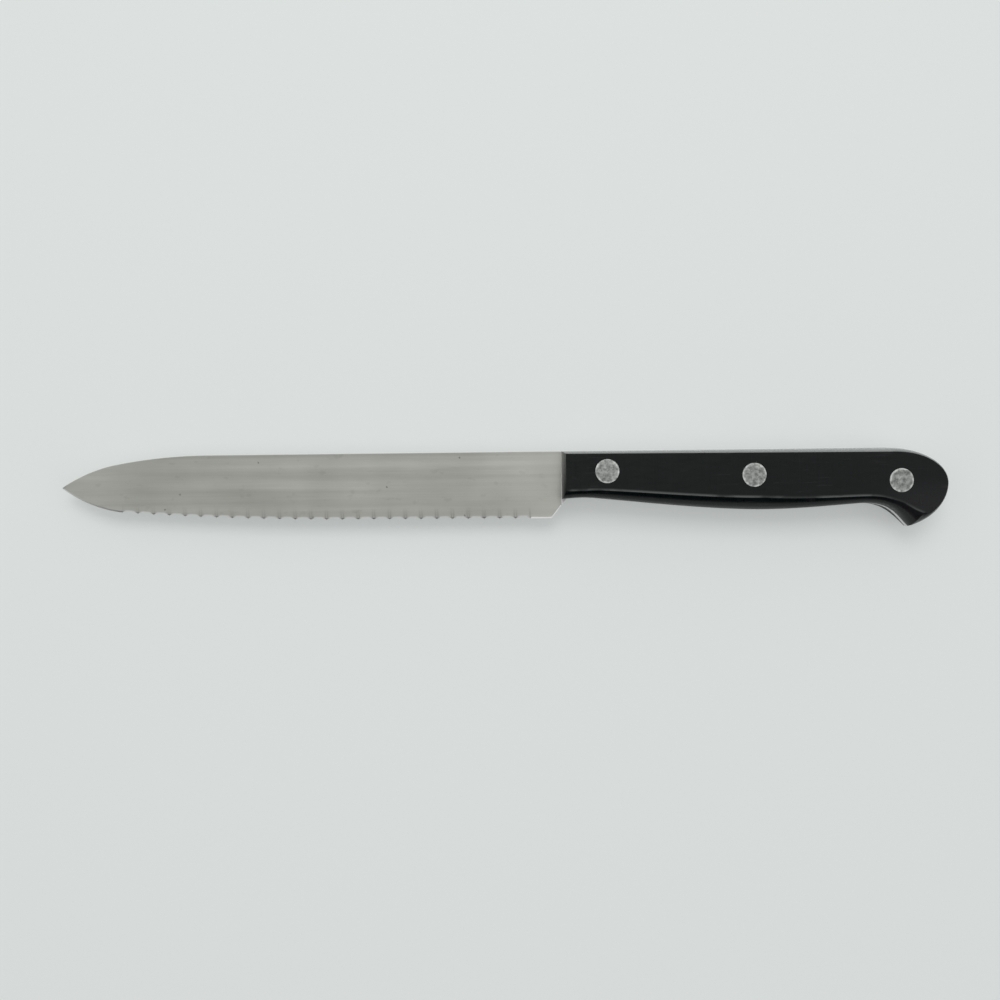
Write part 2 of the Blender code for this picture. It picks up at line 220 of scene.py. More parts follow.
ARC_FLOOR = -0.6
PLUNGE_SETBACK = 0.0001
PLUNGE_RUN = 0.00006
SAME_PLACE = 1e-6
POINT_STEPS = 36
SCALLOP_STEPS = 16
HEEL_STEPS = 12
CHOIL_STEPS = 6
FLAT_ROWS = 6
BEVEL_ROWS = 2
CUT_ROWS = 5


def arc_drop(u, length, drop):
    """How far an arc that ends at the tip has left the line that it starts from."""
    radius = (length * length + drop * drop) / (drop * 2)
    reach = (length - u).most(0)
    return radius - (radius * radius - reach * reach).root()


def draw_blade(nodes, size):
    """The ground blade: a grid whose columns are stations from the tip to the plunge, and whose
    rows run from the spine down the left side and up the right side."""
    serrated = BLADE["Scallop pitch"] * BLADE["Scallop count"]
    heel_run = BLADE["Length"] - BLADE["Heel setback"]
    stretches = [
        (POINT_STEPS, BLADE["Plain point"]),
        (SCALLOP_STEPS * BLADE["Scallop count"], serrated),
        (HEEL_STEPS, heel_run - serrated - BLADE["Plain point"]),
        (CHOIL_STEPS, BLADE["Heel setback"] - PLUNGE_SETBACK),
    ]
    stations = sum(steps for steps, _ in stretches) + 1
    corners = [0, 1]
    for run in (FLAT_ROWS, BEVEL_ROWS, 1, CUT_ROWS, FLAT_ROWS):
        corners.append(corners[-1] + run)
    rows = corners[-1] + 3
    grid = nodes.add("GeometryNodeMeshGrid", inputs={"Vertices X": stations, "Vertices Y": rows})
    index = nodes.add("GeometryNodeInputIndex")
    station = (index / rows + 0.5 / rows).floor()
    row = index - station * rows

    # Distance from the tip, stretch by stretch
    u, start = 0, 0
    for steps, run in stretches:
        u = along(station, start, steps) * run + u
        start += steps

    # Spine and edge at this station: each a line that leaves by a long arc and then a short one
    spine = -arc_drop(u, size["Spine sweep"], size["Sweep drop"]) \
        - arc_drop(u, size["Spine point"], size["Point drop"])
    heel_u = size["Length"] - size["Heel setback"]
    slope = (size["Heel depth"] - size["Point depth"]) / heel_u
    line = (heel_u - u) * slope - size["Heel depth"]
    rise = size["Point depth"] - size["Sweep drop"] - size["Point drop"] - size["Belly rise"] \
        - size["Tip height"]
    edge = line + arc_drop(u, size["Belly"], size["Belly rise"]) + arc_drop(u, size["Edge point"], rise)

    # Flat and edge bevel: half thicknesses at the spine, the shoulder and the edge
    shoulder_half = size["Shoulder thickness"] / 2
    edge_half = size["Edge thickness"] / 2
    flat_run = size["Heel depth"] - size["Bevel height"]
    plane = (size["Spine thickness"] / 2 - shoulder_half) / flat_run
    taper = (size["Tip taper"] - u).most(0) / size["Tip taper"]
    thinning = taper * taper
    spine_half = (shoulder_half + plane * (spine - line - size["Bevel height"])) * (1 - thinning) \
        + size["Tip thickness"] / 2 * thinning
    bevel = size["Bevel height"].least((spine - edge) / 2)
    shoulder = edge + bevel
    flat_slope = (spine_half - shoulder_half) / (spine - shoulder)
    bevel_slope = (shoulder_half - edge_half) / bevel

    # The wheel's flattened arc at this station, where its cut leaves the left face. Past the ends of
    # its chord the arc passes below the edge and cuts nothing.
    tangent = nodes.math("TANGENT", size["Scallop angle"])
    depth = size["Scallop depth"] + (shoulder_half - edge_half) / tangent
    half_chord = (size["Scallop pitch"] - size["Tooth land"]) / 2
    nearest = ((u - size["Plain point"]) / size["Scallop pitch"]).floor()
    nearest = nearest.clamp(0, BLADE["Scallop count"] - 1)
    offset = u - size["Plain point"] - (nearest + 0.5) * size["Scallop pitch"]
    share = offset * offset / (half_chord * half_chord)
    notch = edge + depth * (1 - share * share).most(ARC_FLOOR)

    # Where the cut meets the left bevel or flat, and where it leaves the right flat
    through_bevel = (bevel_slope * edge + tangent * notch) / (bevel_slope + tangent)
    through_flat = (edge_half - shoulder_half + flat_slope * shoulder + tangent * notch) \
        / (flat_slope + tangent)
    choil_slope = (size["Heel depth"] - size["Choil depth"]) / (size["Heel setback"] + size["Choil end"])
    choil = (u - heel_u) * choil_slope - size["Heel depth"]
    bottom = edge.most(through_bevel).most(through_flat).most(choil)
    left_top = shoulder.most(bottom + size["Choil burr"] * bottom.over(edge))
    right_top = (edge_half + shoulder_half + tangent * notch - flat_slope * shoulder) \
        / (tangent - flat_slope)
    right_top = right_top.most(left_top)

    # Down the left side, across the edge and up the right side
    break_y = spine - size["Spine break"]
    y = spine - along(row, corners[0], 1) * size["Spine break"] \
        - along(row, corners[1], FLAT_ROWS) * (break_y - left_top) \
        - along(row, corners[2], BEVEL_ROWS) * (left_top - bottom) \
        + along(row, corners[4], CUT_ROWS) * (right_top - bottom) \
        + along(row, corners[5], FLAT_ROWS) * (break_y - right_top) \
        + along(row, corners[6], 1) * size["Spine break"]
    half = (shoulder_half + flat_slope * (y - shoulder)).least(edge_half + bevel_slope * (y - edge))
    cut = edge_half - tangent * (y - notch)
    broken = (1 - row.over(0.5) + row.over(corners[6] + 0.5)) * size["Spine break"]
    on_right = row.over(corners[3] + 0.5) * (1 - row.over(corners[6] + 1.5))
    left_z = half - broken
    right_z = (-half).most(cut) + broken
    z = left_z + on_right * (right_z - left_z)
    place = nodes.vector(u + tip_x, y + spine_y, z + middle_z)
    placed = nodes.add("GeometryNodeSetPosition", inputs={"Geometry": grid, "Position": place})

    # Which faces are edge bevel or land, and which the wheel has cut
    face_row = nodes.add("GeometryNodeFieldOnDomain", {"domain": "POINT"}, {0: row})
    on_bevel = face_row.over(corners[2]) * (1 - face_row.over(corners[4]))
    on_cut = face_row.over(corners[4]) * (1 - face_row.over(corners[5]))
    for name, mask in (("edge_bevel", on_bevel), ("wheel_cut", on_cut)):
        placed = nodes.add("GeometryNodeStoreNamedAttribute", {"domain": "FACE"},
                           {"Geometry": placed, "Name": name, "Value": mask})
    return nodes.add("GeometryNodeMergeByDistance", inputs={"Geometry": placed, "Distance": SAME_PLACE})


def new_finish(name, constants):
    """A material with these constants on its shader, its nodes, its shader and its coordinates."""
    material = bpy.data.materials.new(name)
    material.use_nodes = True
    shader = material.node_tree.nodes["Principled BSDF"]
    for socket, value in constants.items():
        shader.inputs[socket].default_value = value
    nodes = Nodes(material.node_tree)
    return material, nodes, shader, nodes.add("ShaderNodeTexCoord", output=3)


def feed(nodes, shader, values):
    """Links each value to the shader's socket of that name."""
    for socket, value in values.items():
        nodes.tree.links.new(value.socket, shader.inputs[socket])


def noise(nodes, place, grain, detail=2.0):
    """Noise about one half, with this many grains per metre along x, y and z."""
    stretched = nodes.add("ShaderNodeVectorMath", {"operation": "MULTIPLY"}, {0: place, 1: grain})
    return nodes.add("ShaderNodeTexNoise", inputs={"Vector": stretched, "Scale": 1, "Detail": detail})


def attribute(nodes, name):
    """A number that is stored on the mesh, such as where it is worn."""
    return nodes.add("ShaderNodeAttribute", {"attribute_name": name}, output=2)


def blend(nodes, share, first, second):
    """Colour between two colours."""
    return nodes.add("ShaderNodeMix", {"data_type": "RGBA"}, {0: share, 6: first, 7: second}, output=2)


def smooth_step(nodes, value, low, high, to_low=0.0, to_high=1.0):
    """Eases from one level to another while a value goes from low to high."""
    return nodes.add("ShaderNodeMapRange", {"interpolation_type": "SMOOTHSTEP"},
                     {0: value, 1: low, 2: high, 3: to_low, 4: to_high})


# Satin from a fine belt, with lengthwise streaks, a few smudges and specks, and cloudy wear. The honed edge
# near the heel carries a painted glint, the ground bevels are lighter and partly a painted glint, there is
# painted shade along the spine, a painted shadow at the plunge and painted light towards the handle. The
# distances are from the handle's front, or from the spine.
EDGE_GLINT_START, EDGE_GLINT_FULL = 0.0082, 0.0078
PLUNGE_LINE_START, PLUNGE_LINE_FULL, PLUNGE_LINE_END = 0.00014, 0.00010, 0.0001
HANDLE_LIGHT_START = 0.025
SPINE_SHADE_START, SPINE_SHADE_FULL = 0.0012, 0.0004
SPECK_CELLS = 55.0
SPECK_CORE, SPECK_RIM = 0.006, 0.020
DULL_STEEL, PALE_STEEL = (0.43, 0.43, 0.397, 1), (0.585, 0.585, 0.543, 1)
STAINED_AND_SHADED_STEEL, LIT_STEEL_NEAR_HANDLE = (0.24, 0.24, 0.22, 1), (0.75, 0.75, 0.70, 1)
GROUND_AND_GLINTING_STEEL, GLINTING_EDGE_STEEL = (0.86, 0.86, 0.83, 1), (0.98, 0.98, 0.96, 1)
PLUNGE_SHADOW = (0.04, 0.04, 0.04, 1)

steel, nodes, shader, place = new_finish("brushed_steel", {"Metallic": 1.0})
bevel = attribute(nodes, "edge_bevel")
wheel_cut = attribute(nodes, "wheel_cut")
streaks = noise(nodes, place, (11, 620, 620), 4)
hairlines = noise(nodes, place, (70, 7500, 7500), 2)
wheel_marks = noise(nodes, place, (8000, 150, 150), 2)
clouds = noise(nodes, place, (70, 110, 110), 3)
smudges = smooth_step(nodes, noise(nodes, place, (320, 520, 520), 2), 0.62, 0.74)
cell = nodes.add("ShaderNodeVectorMath", {"operation": "SCALE"}, {0: place, 3: SPECK_CELLS})
specks = nodes.add("ShaderNodeTexVoronoi", {"voronoi_dimensions": "2D"}, {"Vector": cell, "Scale": 1})
ragged = (noise(nodes, place, (2500, 2500, 2500)) - 0.5) * 0.03
speck = smooth_step(nodes, specks + ragged, SPECK_CORE, SPECK_RIM, 1.0, 0.0)
along_blade = nodes.add("ShaderNodeSeparateXYZ", inputs={"Vector": place}, output=0)
across_blade = nodes.add("ShaderNodeSeparateXYZ", inputs={"Vector": place}, output=1)
# Painted highlight: the edge bevel over the last few millimetres before the handle is made a bright white
# glint
edge_glint = bevel * smooth_step(nodes, along_blade, front_x - EDGE_GLINT_START, front_x - EDGE_GLINT_FULL)
# Painted shadow: a dark line at the plunge, where the ground blade meets the tang
plunge_shadow_mask = smooth_step(nodes, along_blade, front_x - PLUNGE_LINE_START, front_x - PLUNGE_LINE_FULL) \
    * smooth_step(nodes, along_blade, front_x, front_x + PLUNGE_LINE_END, 1.0, 0.0)
# Painted shade: a darker band along the spine
painted_spine_shade = smooth_step(nodes, across_blade, spine_y - SPINE_SHADE_START, spine_y - SPINE_SHADE_FULL)
# Painted light: the steel grows lighter over the last few centimetres before the handle
light_near_handle = smooth_step(nodes, along_blade, front_x - HANDLE_LIGHT_START, front_x)
tone = (streaks - 0.5) * 0.9 + (hairlines - 0.5) * 0.5 + (clouds - 0.5) * 0.6 + 0.5
tone = blend(nodes, tone.clamp(), DULL_STEEL, PALE_STEEL)
# Smudges and specks are real stains; the band along the spine is painted shade
tone = blend(nodes, (smudges * 0.15 + painted_spine_shade * 0.3 + speck * 0.9).clamp(), tone, STAINED_AND_SHADED_STEEL)
# Painted light towards the handle
tone = blend(nodes, light_near_handle * 0.25, tone, LIT_STEEL_NEAR_HANDLE)
# Ground bevels and wheel cuts are a lighter finish; on the edge bevel this lightening is also a painted glint
tone = blend(nodes, (bevel * 0.5).most(wheel_cut * 0.4), tone, GROUND_AND_GLINTING_STEEL)
# Painted highlight on the honed edge near the heel and choil
tone = blend(nodes, edge_glint, tone, GLINTING_EDGE_STEEL)
# Painted shadow at the plunge
tone = blend(nodes, plunge_shadow_mask, tone, PLUNGE_SHADOW)
height = hairlines * (1 - wheel_cut) + wheel_marks * wheel_cut
feed(nodes, shader, {
    "Base Color": tone,
    "Metallic": 1 - edge_glint * (1 - plunge_shadow_mask) * 0.9,
    "Roughness": (clouds - 0.5) * 0.12 + (streaks - 0.5) * 0.1 + 0.36,
    "Normal": nodes.add("ShaderNodeBump", inputs={"Strength": 0.5, "Distance": 0.000004, "Height": height}),
})

nodes, _, sockets, names = new_geometry_tree("ground_blade", BLADE)
blade_grid = draw_blade(nodes, sockets)
finish_tree(nodes, blade_grid, steel)
blade_mesh = grown_mesh("blade_and_tang", bpy.data.meshes.new("empty"), nodes.tree, names, BLADE)

HANDLE_LENGTH = butt_x - front_x
FRONT_DEPTH = 0.0123
NECK_SETBACK, NECK_DEPTH = 0.006, 0.0120
SWELL_SETBACK, SWELL_DEPTH = 0.026, 0.01557
WAIST_SETBACK, WAIST_DEPTH = 0.02055, 0.0142
HOOK_SETBACK, HOOK_DEPTH = 0.0091, 0.0203
HOOK_SLOPE = math.radians(47)
FRONT_SLOPE = math.radians(4)
BUTT_ROUND_LENGTH, BUTT_NOSE_DEPTH = 0.0148, 0.0091
OUTLINE_STEPS = 28

front_top, front_bottom = Vector((0, 0)), Vector((0, -FRONT_DEPTH))
neck = Vector((NECK_SETBACK, -NECK_DEPTH))
waist = Vector((HANDLE_LENGTH - WAIST_SETBACK, -WAIST_DEPTH))
swell = Vector((waist.x - SWELL_SETBACK, -SWELL_DEPTH))
hook = Vector((HANDLE_LENGTH - HOOK_SETBACK, -HOOK_DEPTH))
butt_centre = Vector((HANDLE_LENGTH - BUTT_ROUND_LENGTH, -BUTT_NOSE_DEPTH))
hook_turn = math.acos((hook.x - butt_centre.x) / BUTT_ROUND_LENGTH)
lower_butt_height = (HOOK_DEPTH - BUTT_NOSE_DEPTH) / math.sin(hook_turn)


def curve_stretch(start, start_slope, start_pull, end, end_slope, end_pull):
    """Points of one smooth curve. A pull is its handle's share of the stretch's run."""
    run = end.x - start.x
    first_handle = start + Vector((math.cos(start_slope), math.sin(start_slope))) * run * start_pull
    last_handle = end - Vector((math.cos(end_slope), math.sin(end_slope))) * run * end_pull
    return interpolate_bezier(start, first_handle, last_handle, end, OUTLINE_STEPS + 1)


def butt_stretch(half_height, start, end):
    """Points of the rounded butt between two angles, counted from the nose towards the spine."""
    turns = [start + (end - start) * step / OUTLINE_STEPS for step in range(OUTLINE_STEPS + 1)]
    return [butt_centre + Vector((BUTT_ROUND_LENGTH * math.cos(a), half_height * math.sin(a))) for a in turns]


front_edge = curve_stretch(front_bottom, FRONT_SLOPE, 0.3, neck, 0, 0.3)
swelling = curve_stretch(neck, 0, 0.09, swell, 0, 0.35)
narrowing = curve_stretch(swell, 0, 0.42, waist, 0, 0.12)
hollow = curve_stretch(waist, 0, 0.62, hook, -HOOK_SLOPE, 0.41)
lower_butt = butt_stretch(lower_butt_height, -hook_turn, 0)
upper_butt = butt_stretch(BUTT_NOSE_DEPTH, 0, math.pi / 2)

# The tang carries on from the blade's last ring at full thickness, in the handle's outline
TANG_BREAK = 0.00004
choil_end = BLADE["Choil end"]


def tang_ring(x, top, bottom):
    """One section of the tang: down its left side and up its right side."""
    edge_break = min(TANG_BREAK, (top - bottom) / 2)
    flat = [(top - edge_break + (bottom + 2 * edge_break - top) * step / FLAT_ROWS, half_stock)
            for step in range(FLAT_ROWS + 1)]
    left = [(top, half_stock - TANG_BREAK), *flat, (bottom, half_stock - TANG_BREAK)]
    ring = [(y, z) for y, z in left] + [(y, -z) for y, z in reversed(left)]
    return [Vector((front_x + x, spine_y + y, middle_z + z)) for y, z in ring]


def spine_height(x):
    """Top of the handle above a place: level, then round the butt."""
    share = max(0.0, (x - butt_centre.x) / BUTT_ROUND_LENGTH)
    return -BUTT_NOSE_DEPTH + BUTT_NOSE_DEPTH * math.sqrt(max(0.0, 1 - share ** 2))


choil_slope = (BLADE["Heel depth"] - BLADE["Choil depth"]) / (BLADE["Heel setback"] + choil_end)
plunge = PLUNGE_RUN - PLUNGE_SETBACK
under_front = [p for p in front_edge if p.x > choil_end]
sections = [(plunge, 0, (plunge - choil_end) * choil_slope - BLADE["Choil depth"])]
for share in (0, 1 / 3, 2 / 3, 1):
    sections.append((choil_end * share, 0, choil_end * (share - 1) * choil_slope + under_front[0].y))
for point in under_front[1:] + swelling[1:] + narrowing[1:] + hollow[1:] + lower_butt[1:]:
    sections.append((point.x, spine_height(point.x), point.y))

bm = bmesh.new()
bm.from_mesh(blade_mesh)
last_x = max(vert.co.x for vert in bm.verts)
open_ring = [vert for vert in bm.verts if vert.co.x > last_x - SAME_PLACE]
left_side = sorted((v for v in open_ring if v.co.z > middle_z), key=lambda v: -v.co.y)
right_side = sorted((v for v in open_ring if v.co.z < middle_z), key=lambda v: v.co.y)
before = left_side + left_side[-1:] + right_side[:1] + right_side
for section in sections:
    ring = [bm.verts.new(place) for place in tang_ring(*section)]
    for index in range(len(ring)):
        after = (index + 1) % len(ring)
        corners = dict.fromkeys((before[index], before[after], ring[after], ring[index]))
        if len(corners) > 2:
            bm.faces.new(corners)
    before = ring
bmesh.ops.remove_doubles(bm, verts=bm.verts, dist=2 * SAME_PLACE)
bmesh.ops.holes_fill(bm, edges=[edge for edge in bm.edges if edge.is_boundary], sides=0)
bmesh.ops.recalc_face_normals(bm, faces=bm.faces)
bm.to_mesh(blade_mesh)
bm.free()

FRONT_RIVET_SETBACK, REAR_RIVET_SETBACK = 0.0114, 0.01225
RIVET_DEPTHS = (0.00537, 0.00672, 0.00852)
DRILL_STEPS = 64
first_rivet, last_rivet = FRONT_RIVET_SETBACK, HANDLE_LENGTH - REAR_RIVET_SETBACK
rivet_places = [Vector((front_x + x, spine_y - depth, middle_z))
                for x, depth in zip((first_rivet, (first_rivet + last_rivet) / 2, last_rivet), RIVET_DEPTHS)]


def add_piece(name, mesh):
    item = bpy.data.objects.new(name, mesh)
    bpy.context.scene.collection.objects.link(item)
    return item


def drilled(mesh, profile):
    """The mesh with its three rivet holes, turned from a profile of (radius, height)."""
    bm = bmesh.new()
    for place in rivet_places:
        rings = []
        for radius, height in profile:
            turns = [2 * math.pi * step / DRILL_STEPS for step in range(DRILL_STEPS)]
            rings.append([bm.verts.new(place + Vector((radius * math.cos(a), radius * math.sin(a), height)))
                          for a in turns])
        for upper, lower in zip(rings, rings[1:]):
            for index in range(DRILL_STEPS):
                after = (index + 1) % DRILL_STEPS
                bm.faces.new((upper[index], upper[after], lower[after], lower[index]))
        bm.faces.new(rings[0])
        bm.faces.new(rings[-1])
    bmesh.ops.recalc_face_normals(bm, faces=bm.faces)
    tool_mesh = bpy.data.meshes.new("drill")
    bm.to_mesh(tool_mesh)
    bm.free()
    tool, blank = add_piece("drill", tool_mesh), add_piece("blank", mesh)
    cut = blank.modifiers.new("drill", "BOOLEAN")
    cut.operation, cut.solver, cut.object = "DIFFERENCE", "EXACT", tool
    bpy.context.view_layer.update()
    graph = bpy.context.evaluated_depsgraph_get()
    made = bpy.data.meshes.new_from_object(blank.evaluated_get(graph))
    made.name = mesh.name
    for item in (tool, blank):
        bpy.data.objects.remove(item)
    return made


TANG_HOLE = 0.0021
CORNER_ANGLE = math.radians(12)
blade_mesh = drilled(blade_mesh, [(TANG_HOLE, 2 * half_stock), (TANG_HOLE, -2 * half_stock)])
blade_mesh.shade_smooth()
blade_mesh.set_sharp_from_angle(angle=CORNER_ANGLE)
blade = add_piece("blade_and_tang", blade_mesh)
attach(blade, "root")
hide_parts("blade")


# Handle scales
# Two slabs of black acetal plastic, one on each side of the tang, rounded over along the outside
# and ground flush with the steel. Handling has rubbed the crease along the belly grey.
SCALE_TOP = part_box("left_scale")[1].z - middle_z
SEAT_GAP = 0.00002
SCALE_SEAT = half_stock + SEAT_GAP
ROUND_STEPS = 14
UNDER_CREASE = 0.965
ROUND_SHARES = [step / ROUND_STEPS for step in range(ROUND_STEPS)] + [UNDER_CREASE, 1]
CORNER_ROUND, NECK_ROUND, SWELL_ROUND, WAIST_ROUND, HOOK_ROUND = (
    (reach, math.radians(75)) for reach in (0.0020, 0.0017, 0.0031, 0.00176, 0.0038))
FRONT_ROUND = 0.0009, math.radians(75)
LOWER_BUTT_ROUND, BUTT_ROUND = (0.0013, math.radians(35)), (0.0005, math.radians(40))
# Known fault: a reach above 0.0011 in SPINE_BUTT_ROUND puts the wall's foot under the scale's seat
SPINE_BUTT_ROUND, SPINE_FRONT_ROUND = (0.00125, math.radians(25)), (0.00085, math.radians(20))
HOOK_REACH = 0.0055
WORN_RIM = 0.0006
EARLY_POWER = 1.5
LATE_START = 0.3
GENTLE_BEND = 0.9
OUTLINE_CORNER = math.radians(25)
SCALE_CORNER = math.radians(30)
CREASE_CORNER = math.radians(2)
FLAT_NORMAL = 0.99999
HEAD_HOLE = 0.00314
TUBE_HOLE = 0.00203
COUNTERBORE = SCALE_TOP - 0.0014


def early(share):
    """Most of the change comes near the stretch's start."""
    return 1 - (1 - share) ** EARLY_POWER


def late(share):
    """The change waits, and then eases in and out."""
    share = max(0.0, (share - LATE_START) / (1 - LATE_START))
    return share * share * (3 - 2 * share)


def rounded(points, start_round, end_round, wear, change=early):
    """Each point with its round-over, which changes early or late along the stretch, and the wear
    of its crease, and the wear and painted sheen of its wall's foot and of its wall's head."""
    shares = [change(index / (len(points) - 1)) for index in range(len(points))]
    rounds = [Vector(start_round).lerp(Vector(end_round), share) for share in shares]
    return [(Vector(point), over, wear) for point, over in zip(points, rounds)]


scale_stretches = [
    rounded([front_top, front_bottom], FRONT_ROUND, FRONT_ROUND, (0.0, 0.0, 0.0)),
    rounded(front_edge, CORNER_ROUND, NECK_ROUND, (0.7, 0.0, 0.0)),
    rounded(swelling, NECK_ROUND, SWELL_ROUND, (1.0, 0.0, 0.0)),
    rounded(narrowing, SWELL_ROUND, WAIST_ROUND, (1.0, 0.0, 0.0)),
    rounded(hollow, WAIST_ROUND, HOOK_ROUND, (0.5, 0.0, 0.0), late),
    rounded(lower_butt, LOWER_BUTT_ROUND, BUTT_ROUND, (0.0, 1.0, 0.0)),
    rounded(upper_butt[::-1], SPINE_BUTT_ROUND, BUTT_ROUND, (0.0, 1.0, 1.0))[::-1],
    rounded([upper_butt[-1], front_top], SPINE_BUTT_ROUND, SPINE_FRONT_ROUND, (0.0, 1.0, 1.0)),
]


def mitre(before, after, before_round, after_round):
    """How far a corner of the outline moves in when its two sides move in by their round-overs."""
    inward_before = Vector((-before.y, before.x)).normalized()
    inward_after = Vector((-after.y, after.x)).normalized()
    cosine = inward_before.dot(inward_after)
    if cosine > GENTLE_BEND:
        return (inward_before + inward_after) * (before_round + after_round) / 2 / (1 + cosine)
    along_before = inward_before * (before_round - cosine * after_round)
    along_after = inward_after * (after_round - cosine * before_round)
    return (along_before + along_after) / (1 - cosine ** 2)


def scale_rim():
    """The outline as (point, its whole move inwards, round-over, wear and painted wall sheen), with room for
    each mitre.
    """
    places, corners = [], []
    for stretch, following in zip(scale_stretches, scale_stretches[1:] + scale_stretches[:1]):
        run = stretch + [(following[1][0], following[0][1], 0)]
        for (before, *_), (point, over, wear), (after, after_over, _) in zip(run, run[1:], run[2:]):
            inset = mitre(point - before, after - point, over.x, after_over.x)
            places.append((point, inset, over, wear))
            sharp = (point - before).angle(after - point) > OUTLINE_CORNER
            if sharp and (point - hook).length > SAME_PLACE:
                corners.append((point, inset.length))
    places = [place for place in places
              if all(place[0] == corner or (place[0] - corner).length > move for corner, move in corners)]

    # The crease turns the hook in a curve, whose middle leans on the mitre's corner
    near = [index for index, place in enumerate(places) if (place[0] - hook).length < HOOK_REACH]
    start, end = (places[index][0] + places[index][1] for index in (near[0] - 1, near[-1] + 1))
    corner = next(point + inset for point, inset, *_ in places if (point - hook).length < SAME_PLACE)
    for count, index in enumerate(near, 1):
        share = count / (len(near) + 1)
        crease = start * (1 - share) ** 2 + corner * 2 * share * (1 - share) + end * share ** 2
        places[index] = (places[index][0], crease - places[index][0], *places[index][2:])
    return places


def make_scale(name, side, material):
    """A scale: the handle's outline, upright at the tang, then rounded in to a creased face."""
    rim = scale_rim()
    bm = bmesh.new()
    layers = [bm.verts.layers.float.new(layer) for layer in ("crease_wear", "wall_wear_and_sheen")]
    rings = [[(point, SCALE_SEAT, (0, 0)) for point, *_ in rim]]
    for share in ROUND_SHARES:
        ring = []
        for point, inset, (reach, turn), (crease_wear, foot_wear_and_sheen, head_wear_and_sheen) in rim:
            inward = (1 - math.cos(turn * share)) / (1 - math.cos(turn))
            drop = reach * (math.sin(turn) - math.sin(turn * share)) / (1 - math.cos(turn))
            wear = (crease_wear, 0) if share == 1 else (0, foot_wear_and_sheen + (head_wear_and_sheen - foot_wear_and_sheen) * share)
            ring.append((point + inset * inward, SCALE_TOP - drop, wear))
        rings.append(ring)
    rings.append([(point + inset * (1 + WORN_RIM / inset.length), SCALE_TOP, (0, 0))
                  for point, inset, *_ in rim])
    loops = []
    for ring in rings:
        loop = []
        for point, height, wear in ring:
            vert = bm.verts.new((front_x + point.x, spine_y + point.y, middle_z + side * height))
            vert[layers[0]], vert[layers[1]] = wear
            loop.append(vert)
        loops.append(loop)
    for lower, upper in zip(loops, loops[1:]):
        for index in range(len(rim)):
            after = (index + 1) % len(rim)
            bm.faces.new((lower[index], lower[after], upper[after], upper[index]))
    bm.faces.new(loops[0])
    bm.faces.new(loops[-1])
    bmesh.ops.recalc_face_normals(bm, faces=bm.faces)
    mesh = bpy.data.meshes.new(name)
    bm.to_mesh(mesh)
    bm.free()
    profile = [(HEAD_HOLE, SCALE_TOP + half_stock), (HEAD_HOLE, COUNTERBORE), (TUBE_HOLE, COUNTERBORE),
               (TUBE_HOLE, 0)]
    mesh = drilled(mesh, [(radius, side * height) for radius, height in profile])
    mesh.shade_smooth()
    mesh.set_sharp_from_angle(angle=SCALE_CORNER)

    # The crease round the flat face stays sharp however little the wall turns there
    bm = bmesh.new()
    bm.from_mesh(mesh)
    for edge in bm.edges:
        flat = any(abs(face.normal.z) > FLAT_NORMAL for face in edge.link_faces)
        if flat and edge.calc_face_angle(0) > CREASE_CORNER:
            edge.smooth = False
    bm.to_mesh(mesh)
    bm.free()
    mesh.materials.clear()
    mesh.materials.append(material)
    return add_piece(name, mesh)


# Satin black, polished across the handle, with scuffs and a rubbed crease; the walls' rubbed grey is partly a
# painted sheen
DEEP_BLACK, SOFT_BLACK = (0.0003, 0.0014, 0.0016, 1), (0.0012, 0.0028, 0.0031, 1)
SCUFFED_BLACK, RUBBED_GREY_AND_SHEEN = (0.011, 0.0105, 0.012, 1), (0.12, 0.125, 0.125, 1)
HANDLED_START, HANDLED_FULL = 0.020, 0.009
HANDLED_TOP, HANDLED_BOTTOM = 0.007, 0.014

plastic, nodes, shader, place = new_finish("worn_black_plastic",
                                           {"Specular IOR Level": 0.27, "Coat Roughness": 0.15})
worn = attribute(nodes, "crease_wear")
wall = attribute(nodes, "wall_wear_and_sheen")
along_grip = nodes.add("ShaderNodeSeparateXYZ", inputs={"Vector": place}, output=0)
across_grip = nodes.add("ShaderNodeSeparateXYZ", inputs={"Vector": place}, output=1)
handled = smooth_step(nodes, along_grip, butt_x - HANDLED_START, butt_x - HANDLED_FULL) \
    * smooth_step(nodes, spine_y - across_grip, HANDLED_TOP, HANDLED_BOTTOM)
polish = noise(nodes, place, (2600, 90, 400), 3)
scuffs = noise(nodes, place, (240, 900, 900), 5)
patches = noise(nodes, place, (130, 300, 300), 3)
rubbed = worn * smooth_step(nodes, patches, 0.42, 0.62)
shade = ((polish - 0.5) * 0.5 + (scuffs - 0.5) * 0.5 + 0.5).clamp()
colour = blend(nodes, shade, DEEP_BLACK, SOFT_BLACK)
marks = smooth_step(nodes, noise(nodes, place, (170, 1300, 1300), 3), 0.62, 0.74)
colour = blend(nodes, (handled * 0.7 + marks * 0.6).clamp(), colour, SCUFFED_BLACK)
# The crease's grey is real wear; the walls' grey is rubbed wear and also a painted sheen
colour = blend(nodes, (worn * 0.25 + rubbed * 0.6).most(wall * 0.5), colour, RUBBED_GREY_AND_SHEEN)
feed(nodes, shader, {
    "Base Color": colour,
    "Coat Weight": wall,
    "Roughness": (scuffs - 0.5) * 0.16 + (polish - 0.5) * 0.1 + 0.29 + rubbed * 0.15,
    "Normal": nodes.add("ShaderNodeBump", inputs={"Strength": 0.35, "Distance": 0.000006,
                                                  "Height": polish * 0.6 + scuffs * 0.4}),
})
for name, node, side in (("left_grip", "left_scale", 1), ("right_grip", "right_scale", -1)):
    scale = make_scale(name, side, plastic)
    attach(scale, "root")
    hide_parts(node)


